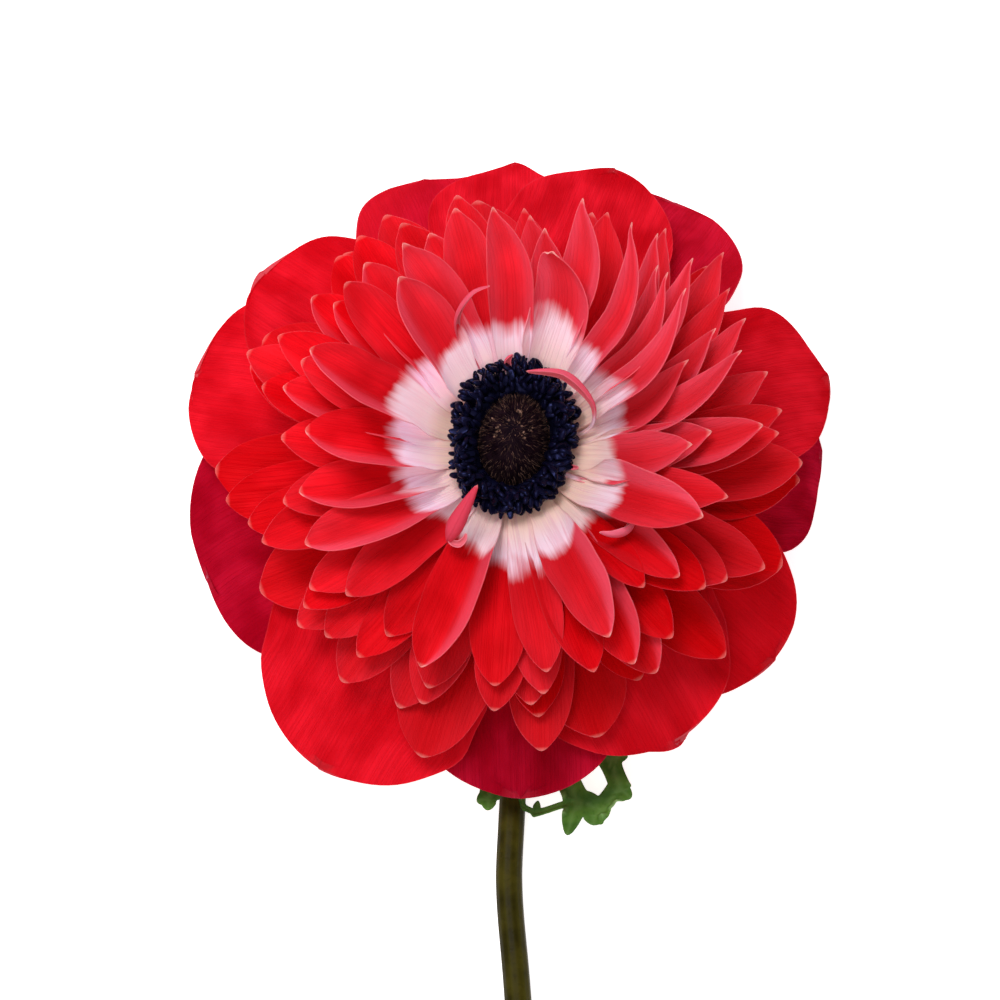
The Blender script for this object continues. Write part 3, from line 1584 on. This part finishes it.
@dataclass
class Pistil:
    """The dome of carpels, covered with short hairs, with a few dried stigmas near its top."""

    foot: float = 24.7 * MM
    top: float = 30.6 * MM
    hair_count: int = 2200
    hair_length: float = 0.85 * MM
    lean: float = 0.9 * MM
    # The dried stigmas' clusters: millimetres right of and above the axis, and how many
    clusters: tuple[tuple[float, float, int], ...] = (
        (0.4, 2.4, 14), (-2.1, -0.9, 14), (2.4, 0.2, 6), (1.4, -1.1, 14), (-1.5, 0.3, 6), (-3.3, 1.2, 5), (0.6, 0.8, 8),
    )

    def on_dome(self, angle: float, rise: float) -> tuple[Vector, Vector]:
        """Returns a point of the dome and the way out from it.

        Args:
            angle: The way from the axis.
            rise: The steepness of the place, from 0 at the foot to a quarter turn at the top.

        Returns:
            The point and the outward direction.
        """
        wide, long, high = *DOME_HALF_AXES, self.top - self.foot
        out = Vector((math.cos(angle) * math.cos(rise), math.sin(angle) * math.cos(rise), math.sin(rise)))
        place = Vector((wide * out.x, long * out.y, self.foot + high * out.z))
        way = Vector((out.x / wide, out.y / long, out.z / high)).normalized()
        for one in (place, way):
            one.rotate(Matrix.Rotation(OVAL_TURN, 3, "Z"))
        return AXIS + place + Vector((0, self.lean * out.z, 0)), way

    def dome(self) -> bpy.types.Object:
        """Makes the dome, its surface raised in the small knobs of the carpels.

        Returns:
            The dome.
        """
        dome = added(bpy.ops.mesh.primitive_uv_sphere_add, "pistil_dome", segments=96, ring_count=64, radius=1)
        unit = places_of(dome.data)
        angle = np.arctan2(unit[:, 1], unit[:, 0])
        rise = np.arcsin(np.clip(unit[:, 2], -1, 1))
        knobs = np.sin(30 * angle + 15 * rise) * np.sin(30 * rise) * np.cos(rise)
        wide, long, high = *DOME_HALF_AXES, self.top - self.foot
        swollen = 1 + 0.018 * knobs
        places = turned_eye(np.column_stack((
            wide * unit[:, 0] * swollen,
            long * unit[:, 1] * swollen,
            self.foot + np.where(unit[:, 2] > 0, high * unit[:, 2] * swollen, 0.4 * MM * unit[:, 2]),
        )))
        places[:, 1] += self.lean * np.maximum(unit[:, 2], 0)
        set_places(dome.data, places)
        return dome

    def crumb_model(self) -> bpy.types.Object:
        """Makes one dried stigma.

        Returns:
            A small uneven crumb.
        """
        crumb = added(bpy.ops.mesh.primitive_ico_sphere_add, "crumb", subdivisions=2, radius=1)
        places = places_of(crumb.data)
        places *= (1 + 0.35 * np.sin(5 * places[:, 0] + 3) * np.cos(6 * places[:, 1]))[:, None]
        set_places(crumb.data, places)
        return crumb

    def hairs(self, drawn: random.Random) -> Iterator[Matrix]:
        """Yields where each hair goes, from the top of the dome down.

        Args:
            drawn: The draw that hairs and stigmas share.
        """
        for i in range(self.hair_count):
            height = (i + 0.5) / self.hair_count
            rise = math.asin(1 - 0.97 * height)
            angle = i * GOLDEN_ANGLE + drawn.uniform(-0.1, 0.1)
            place, out = self.on_dome(angle, rise)
            down = Vector((math.cos(angle), math.sin(angle), -0.5))
            lean = Vector((drawn.uniform(-0.4, 0.4), drawn.uniform(-0.4, 0.4), 0))
            way = (out * 0.75 + down * drawn.uniform(0.4, 1.1) + lean).normalized()
            thick = drawn.uniform(0.045, 0.07) * MM
            yield aimed(place - way * 0.1 * MM, way, 0, (thick, thick, self.hair_length * drawn.uniform(0.6, 1.2)))

    def crumbs(self, drawn: random.Random) -> Iterator[Matrix]:
        """Yields where each dried stigma goes, cluster by cluster.

        Args:
            drawn: The draw that hairs and stigmas share.
        """
        wide, long = DOME_HALF_AXES
        for x, y, count in self.clusters:
            for _ in range(count):
                right, above = drawn.gauss(x, 0.4) * MM / wide, drawn.gauss(y, 0.35) * MM / long
                rise = math.acos(min(0.9, math.hypot(right, above)))
                place, out = self.on_dome(math.atan2(above, right), rise)
                sizes = tuple(drawn.uniform(0.05, 0.2) * MM for _ in range(2)) + (0.25 * MM,)
                yield aimed(place, out, drawn.uniform(0, math.tau), sizes)

    def build(self, palette: Palette) -> list[bpy.types.Object]:
        """Builds the dome, its hairs and the dried stigmas.

        Args:
            palette: The flower's finishes.

        Returns:
            The pieces.
        """
        drawn = random.Random(SEED)
        hairs, crumbs = list(self.hairs(drawn)), list(self.crumbs(drawn))
        finish = palette.pistil.build(palette.effects)
        dome = self.dome()
        down = scattered(add_spike("hair", 3, 0), hairs, "pistil_hairs")
        dried = scattered(self.crumb_model(), crumbs, "pistil_stigmas")
        # How pale each piece's tips are, how many vertices one copy has, and how few copies are pale
        for piece, tip, one, few in ((dome, 0.0, 1, 1.0), (down, 0.6, 4, 5.0), (dried, 1.0, 42, 1.5)):
            count = len(piece.data.vertices)
            shares = np.random.default_rng(SEED).uniform(0.0, 1.0, count)
            write_marks(piece.data, tip=tip * shares[np.arange(count) // one] ** few)
            dress(piece, finish, "pistil_purple_black", "pistil")
        return [dome, down, dried]


# Stem and collar


@dataclass
class Stem:
    """The stem along the ground, its upward bend, and the receptacle that the petals stand on."""

    length: float = 190 * MM
    radius: float = 2.0 * MM
    cut_radius: float = 2.3 * MM
    collar_y: float = -38 * MM
    collar_radius: float = 2.5 * MM
    neck_top: float = 13.0 * MM
    flare_radius: float = 5.8 * MM
    flare_top: float = 16.5 * MM
    # The receptacle's heights and radii in millimetres, above the flare
    receptacle: tuple[tuple[float, float], ...] = (
        (17.1, 6.1), (18.5, 6.0), (20.5, 5.7), (22.5, 5.3), (24.0, 5.0), (24.6, 4.7),
    )
    sides: int = 48
    # Stations along the ground, round the bend and up the flare, and rings that close each end
    lying: int = 170
    bending: int = 24
    flaring: int = 14
    closing: int = 5
    above_ground: float = 0.02 * MM

    def bow(self, y: float) -> float:
        """Returns how far the stem stands to one side where it lies: a slight double bend."""
        dip = math.exp(-(((y + 64 * MM) / (12 * MM)) ** 2))
        return (-0.8 * dip + 0.0194 * max(0.0, -y / MM - 62) ** 1.2) * MM

    def stations(self) -> list[tuple[Vector, float]]:
        """Lays out the stem's midline, from the cut to the receptacle's top.

        Returns:
            Points up the midline, each with the radius there.
        """
        found = []
        bend = self.neck_top - self.radius
        for i in range(self.lying + 1):
            y = mix(-self.length, -bend - 1 * MM, i / self.lying)
            share = 1 + y / self.length
            radius = mix(self.cut_radius, self.radius, smooth(1.4 * share))
            swelling = math.exp(-(((y - self.collar_y) / (3.2 * MM)) ** 2))
            radius = mix(radius, self.collar_radius, swelling)
            clear = 1.1 * MM * math.sin(math.pi * share) ** 2
            found.append((Vector((self.bow(y), y, radius + clear)), radius))
        for i in range(1, self.bending + 1):
            angle = math.pi / 2 * i / self.bending
            place = Vector((0, bend * (math.sin(angle) - 1), self.neck_top - bend * math.cos(angle)))
            found.append((place, self.radius * mix(1.0, 1.1, i / self.bending)))
        for i in range(1, self.flaring + 1):
            share = i / self.flaring
            radius = mix(1.1 * self.radius, self.flare_radius, share ** 2.2)
            found.append((Vector((0, 0, mix(self.neck_top, self.flare_top, share))), radius))
        return found + [(Vector((0, 0, height * MM)), radius * MM) for height, radius in self.receptacle]

    def rings(self) -> list[tuple[Vector, Vector, Vector, float, float]]:
        """Sets a ring on each station, and more that close the ends.

        Returns:
            For each ring its centre, the ways to its side and its top, its radius, and how far it is open.
        """
        stations = self.stations()
        last = len(stations) - 1
        rows = len(stations) + 2 * self.closing
        rings = []
        for k in range(rows):
            i = min(max(k - self.closing, 0), last)
            centre, radius = stations[i]
            way = (stations[min(i + 1, last)][0] - stations[max(i - 1, 0)][0]).normalized()
            side = (Vector((1, 0, 0)) - way * way.x).normalized()
            shut = 1.0
            if k < self.closing:
                shut = k / self.closing
                centre = centre + way * (0.35 * MM * (1 - shut) ** 0.5)
            elif k >= self.closing + len(stations):
                shut = (rows - 1 - k) / self.closing
            # The stem's end is cut on a slant.
            slant = math.exp(-i / 1.5) if k >= self.closing else 1.0
            rings.append((centre, side, way.cross(side) + way * (0.5 * slant), radius, shut))
        return rings

    def tube(self) -> bpy.types.Object:
        """Makes the stem's skin: a grid rolled through the rings.

        Returns:
            The skin, marked with its ribs.
        """
        rings = self.rings()
        grid = add_grid("stem_skin", self.sides, len(rings) - 1)
        flat = places_of(grid.data)
        places = np.empty_like(flat)
        rib = np.zeros(len(flat))
        for number, (x, y, _) in enumerate(flat):
            centre, side, above, radius, shut = rings[round((y + 1) / 2 * (len(rings) - 1))]
            angle = math.pi * (x + 1)
            ridge = math.cos(13 * angle) + 0.5 * math.cos(7 * angle + 1)
            out = side * math.cos(angle) + above * math.sin(angle)
            place = AXIS + centre + out * (radius * shut * (1 + 0.014 * ridge))
            places[number] = (place.x, place.y, max(self.above_ground, place.z))
            rib[number] = max(0.0, 0.14 * ridge) if shut == 1.0 else 0.6
        set_places(grid.data, places)
        write_marks(grid.data, rib=np.clip(rib, 0, 1))
        sew(grid)
        face_outwards(grid)
        return grid

    def build(self, palette: Palette) -> list[bpy.types.Object]:
        """Builds the stem.

        Args:
            palette: The flower's finishes.

        Returns:
            The piece, alone in a list.
        """
        return [dress(self.tube(), palette.stem_olive.build(palette.effects), "stem_olive", "stem")]


@dataclass
class Lobe:
    """A strap of a cut leaf, in millimetres, with the straps that it ends in.

    Its turn is in degrees, from the way that the strap before it runs.
    """

    turn: float
    length: float
    half_width: float
    ends: tuple["Lobe", ...] = ()

    def straps(self, start: Vector, heading: float) -> Iterator["Strap"]:
        """Yields this strap and all that it ends in, laid out flat.

        Args:
            start: The strap's foot.
            heading: The way that it runs, in radians.
        """
        ahead = Vector((math.cos(heading), math.sin(heading)))
        yield Strap(start, ahead, self.length, self.half_width, not self.ends)
        fork = start + ahead * (self.length * 0.9)
        for end in self.ends:
            yield from end.straps(fork, heading + math.radians(end.turn))


@dataclass
class Strap:
    """A strap laid out flat: its foot, its way, its size in millimetres and whether it is a tip."""

    start: Vector
    ahead: Vector
    length: float
    half_width: float
    tip: bool

    def half(self, along: float) -> float:
        """Finds half its width.

        Args:
            along: A share of its length.

        Returns:
            Half its width there, in millimetres.
        """
        if not self.tip:
            return self.half_width * (1 - 0.12 * math.sin(math.pi * along))
        swollen = 0.82 + 0.2 * math.sin(math.pi * min(1.0, along / 0.8))
        return self.half_width * swollen * (1 - max(0.0, (along - 0.4) / 0.6) ** 2.2) ** 0.7

    def at(self, along: float, across: float) -> Vector:
        """Returns the flat point at these shares of its length and half-width."""
        aside = Vector((-self.ahead.y, self.ahead.x))
        return self.start + self.ahead * (along * self.length) + aside * (across * self.half(along))

    def nearness(self, place: Vector) -> tuple[float, float]:
        """Finds where a flat point lies by this strap.

        Args:
            place: The point.

        Returns:
            How far it is off the midline in millimetres, and how far along as a share.
        """
        offset = place - self.start
        along = offset.dot(self.ahead)
        clamped = min(max(along, 0.0), self.length)
        return (offset - self.ahead * clamped).length, along / self.length

    def covers(self, place: Vector) -> bool:
        """Returns whether a flat point lies on this strap."""
        off, along = self.nearness(place)
        return 0 <= along <= 1 and off < self.half(along) + 0.02


@dataclass
class Bract:
    """One leaf of the collar, with slopes in degrees at its foot, along it and at its curled tips."""

    name: str
    foot: tuple[float, float, float]
    heading: float
    slopes: tuple[float, float, float]
    lobes: tuple[Lobe, ...]
    curl_start: float = 12.0
    curl_end: float = 26.0
    thickness: float = 0.42 * MM
    steps: int = 60

    def flat_leaf(self) -> tuple[list[Vector], list[tuple[int, ...]], list[Strap]]:
        """Lays the leaf out flat.

        Returns:
            Its corners in millimetres, its triangles and its straps.
        """
        straps = [strap for lobe in self.lobes for strap in lobe.straps(Vector((0, 0)), math.radians(lobe.turn))]
        corners: list[Vector] = []
        faces = []
        for strap in straps:
            steps = max(6, round(strap.length / 0.7))
            shares = [i / steps for i in range(steps + 1)]
            left = [strap.at(share, 1) for share in shares]
            right = [strap.at(share, -1) for share in reversed(shares)]
            if strap.tip:
                right = right[1:]
            faces.append(list(range(len(corners), len(corners) + len(left) + len(right))))
            corners += left + right
        for strap in straps:
            steps = max(4, round(strap.length / 0.9))
            corners += [strap.at(i / steps, across) for i in range(1, steps) for across in (-0.5, 0, 0.5)]
        flat, _, triangles, _, _, _ = delaunay_2d_cdt(corners, [], faces, 1, 0.1)
        middles = [(flat[a] + flat[b] + flat[c]) / 3 for a, b, c in triangles]
        kept = [any(strap.covers(middle) for strap in straps) for middle in middles]
        return flat, [tuple(t) for t, keep in zip(triangles, kept) if keep], straps

    def build(self, finish: bpy.types.Material) -> bpy.types.Object:
        """Bends the flat leaf round its foot and gives it its thickness.

        Args:
            finish: Its material.

        Returns:
            The leaf.
        """
        flat, triangles, straps = self.flat_leaf()
        spine = self.spine(max(corner.length for corner in flat))
        places = []
        rib = []
        for corner in flat:
            out, up, slope = (float(np.interp(corner.length, spine[:, 0], column)) for column in spine[:, 1:].T)
            turn = math.radians(self.heading) + math.atan2(corner.y, corner.x)
            away = Vector((math.cos(turn), math.sin(turn), 0))
            lift = Vector((0, 0, math.cos(slope))) - away * math.sin(slope)
            nearest = min(straps, key=lambda strap: strap.nearness(corner)[0])
            off, _ = nearest.nearness(corner)
            hollow = 0.28 * (off / nearest.half_width) ** 2 + 0.12 * math.sin(1.3 * corner.x + 0.9 * corner.y)
            middle = Vector(self.foot) + away * out + Vector((0, 0, up)) + lift * hollow
            places.append(AXIS + middle * MM)
            rib.append(0.22 * math.exp(-((off / 0.22) ** 2)) + 0.5 * max(0.0, off / nearest.half_width - 0.8))
        mesh = bpy.data.meshes.new(self.name)
        mesh.from_pydata(places, [], triangles)
        leaf = bpy.data.objects.new(self.name + "_leaf", mesh)
        bpy.context.scene.collection.objects.link(leaf)
        write_marks(mesh, rib=np.clip(np.array(rib), 0, 1))
        face_outwards(leaf)
        if sum(polygon.normal.z for polygon in mesh.polygons) < 0:
            edit(leaf, bpy.ops.mesh.flip_normals)
        apply_modifier(leaf, "SOLIDIFY", thickness=self.thickness, offset=0.0, use_rim=True)
        apply_modifier(leaf, "SUBSURF", levels=1)
        return dress(leaf, finish, "bract_green", self.name)

    def spine(self, reach: float) -> np.ndarray:
        """Lays the leaf's bend out in steps from its foot.

        Args:
            reach: How far the flat leaf reaches, in millimetres.

        Returns:
            Rows of the way gone, the way out, the height and the slope.
        """
        step = reach / self.steps
        rows = [(0.0, 0.0, 0.0, math.radians(self.slopes[0]))]
        for i in range(self.steps):
            along = step * (i + 0.5)
            slope = mix(self.slopes[0], self.slopes[1], smooth(along / 6))
            curled = max(0.0, (along - self.curl_start) / (self.curl_end - self.curl_start)) ** 1.2
            slope = math.radians(slope + self.slopes[2] * curled)
            _, out, up, _ = rows[-1]
            rows.append((step * (i + 1), out + math.cos(slope) * step, up + math.sin(slope) * step, slope))
        return np.array(rows)


@dataclass
class Collar:
    """The three cut leaves round the stem."""

    bracts: tuple[Bract, ...] = (
        Bract("bract_right", (4.5, -38.6, 3.0), -46, (10, 5, 62), (
            Lobe(-22, 15, 2.1, (
                Lobe(-94, 7.3, 0.6, (
                    Lobe(-45, 2.3, 0.5, (Lobe(-48, 1.6, 0.45, (Lobe(-59, 1.6, 0.4, (Lobe(-61, 1.5, 0.35),)),)),)),
                    Lobe(-118, 2.2, 0.6),
                )),
                Lobe(-36, 6.2, 1.6), Lobe(44, 4.8, 2.1),
            )),
            Lobe(15, 13, 1.6, (
                Lobe(-38, 5.6, 1.8, (
                    Lobe(-62, 6.6, 2.1, (Lobe(30, 1.6, 1.7), Lobe(165, 3.0, 0.5))), Lobe(22, 2.6, 1.1),
                )),
                Lobe(38, 3.2, 1.0),
            )),
        ), 13, 25),
        Bract("bract_left", (-4.3, -37.0, 3.0), 158, (4, 1, 30), (
            Lobe(-40, 9, 1.9, (Lobe(-34, 6, 1.3), Lobe(16, 8, 1.4))),
            Lobe(0, 11, 2.2, (Lobe(-42, 6, 1.3), Lobe(0, 8.5, 1.4), Lobe(40, 6.5, 1.3))),
            Lobe(40, 9, 1.9, (Lobe(-16, 8, 1.4), Lobe(36, 6, 1.3))),
        )),
        Bract("bract_upper", (-0.35, -39.0, 5.75), -98, (4, 0, 30), (
            Lobe(-20, 7.5, 1.6, (Lobe(-24, 5, 1.2), Lobe(26, 6.4, 1.7, (Lobe(-62, 2.3, 1.2), Lobe(-8, 2.4, 1.2))))),
            Lobe(6, 6, 1.8, (Lobe(-20, 4.5, 1.2), Lobe(24, 4, 1.2))),
            Lobe(42, 5.5, 1.5, (Lobe(-16, 4, 1.1), Lobe(28, 4, 1.1))),
        ), 9, 19),
    )

    def build(self, palette: Palette) -> list[bpy.types.Object]:
        """Builds the leaves.

        Args:
            palette: The flower's finishes.

        Returns:
            The pieces.
        """
        finish = palette.bract_green.build(palette.effects)
        return [bract.build(finish) for bract in self.bracts]


# Stage


def placed(name: str, what: bpy.types.ID, place: Vector, turn: Sequence[float]) -> bpy.types.Object:
    """Sets a lamp or a camera in the scene.

    Args:
        name: Its name.
        what: The lamp's or the camera's own settings.
        place: Where it stands.
        turn: Its turns about X, Y and Z.

    Returns:
        The object that holds it.
    """
    stand = bpy.data.objects.new(name, what)
    bpy.context.scene.collection.objects.link(stand)
    stand.location = place
    stand.rotation_euler = turn
    return stand


@dataclass(frozen=True)
class Softbox:
    """A square lamp: where it stands from the bloom, its size, power and colour."""

    place: tuple[float, float, float]
    size: float
    power: float
    colour: Colour

    def light(self, name: str) -> None:
        """Adds the lamp, turned towards the bloom.

        Args:
            name: The lamp's name.
        """
        lamp = bpy.data.lights.new(name, "AREA")
        lamp.shape = "SQUARE"
        lamp.size = self.size
        lamp.energy = self.power
        lamp.color = self.colour
        place = Vector(self.place)
        placed(name, lamp, AXIS + place, (-place).to_track_quat("-Z", "Y").to_euler())


@dataclass
class Studio:
    """The white ground, the soft light and the camera."""

    key: Softbox = Softbox((-0.22, 0.28, 0.86), 0.4, 5.8, (0.97, 0.95, 1.0))
    fill: Softbox = Softbox((-0.15, -0.40, 0.80), 0.6, 2.4, (1.0, 0.86, 0.80))
    sky: float = 0.36
    ground_size: float = 4
    ground_gap: float = 0.05 * MM

    def build(self) -> None:
        """Sets the stage."""
        self.lay_ground()
        self.key.light("key_softbox")
        self.fill.light("fill_softbox")
        world = bpy.data.worlds.new("studio")
        bpy.context.scene.world = world
        world.use_nodes = True
        sky = world.node_tree.nodes["Background"]
        Tree(world.node_tree).coat(sky, {"Color": (1, 1, 1), "Strength": self.sky})
        bpy.context.scene.view_settings.view_transform = "Standard"
        self.place_camera()

    def lay_ground(self) -> None:
        """Lays the plain white ground, with a little light of its own."""
        place = (AXIS.x, AXIS.y, -self.ground_gap)
        deselect()
        bpy.ops.mesh.primitive_plane_add(size=self.ground_size, location=place)
        ground = bpy.context.active_object
        ground.name = "ground"
        material, tree, shader = start_material("white_ground")
        tree.coat(shader, {
            "Base Color": (0.92, 0.92, 0.92),
            "Roughness": 0.9,
            "Emission Color": (1, 1, 1),
            "Emission Strength": 0.75,
        })
        ground.data.materials.append(material)
        ground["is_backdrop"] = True

    def place_camera(self) -> None:
        """Places the camera over the bloom, leaning towards the stem's side."""
        camera = bpy.data.cameras.new("camera")
        camera.sensor_width = SENSOR_WIDTH
        camera.lens = SENSOR_WIDTH * CAMERA_DISTANCE / (PICTURE_SIDE * PIXEL)
        camera.shift_x = 0.5 - EYE_PIXEL[0] / PICTURE_SIDE
        camera.shift_y = EYE_PIXEL[1] / PICTURE_SIDE - 0.5
        camera.clip_start = 10 * MM
        view = Vector((0, math.sin(CAMERA_TILT), -math.cos(CAMERA_TILT)))
        place = AXIS + Vector((0, 0, EYE_HEIGHT)) - view * CAMERA_DISTANCE
        bpy.context.scene.camera = placed("camera", camera, place, (CAMERA_TILT, 0, 0))


def main() -> None:
    """Builds the flower's pieces in order, then the stage."""
    logging.basicConfig(level=logging.INFO, format="%(name)s %(message)s")
    palette = Palette(SharedEffects())
    for part in (Stem(), Collar(), OuterTepals(), InnerPetals(), CurledPetals(), Stamens(), Pistil()):
        part.build(palette)
    Studio().build()
    sizes = {"solids": solid_box, "dressed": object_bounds()}
    {name: [list(map(float, corner)) for corner in box] for name, box in sizes.items()}


if __name__ == "__main__":
    main()
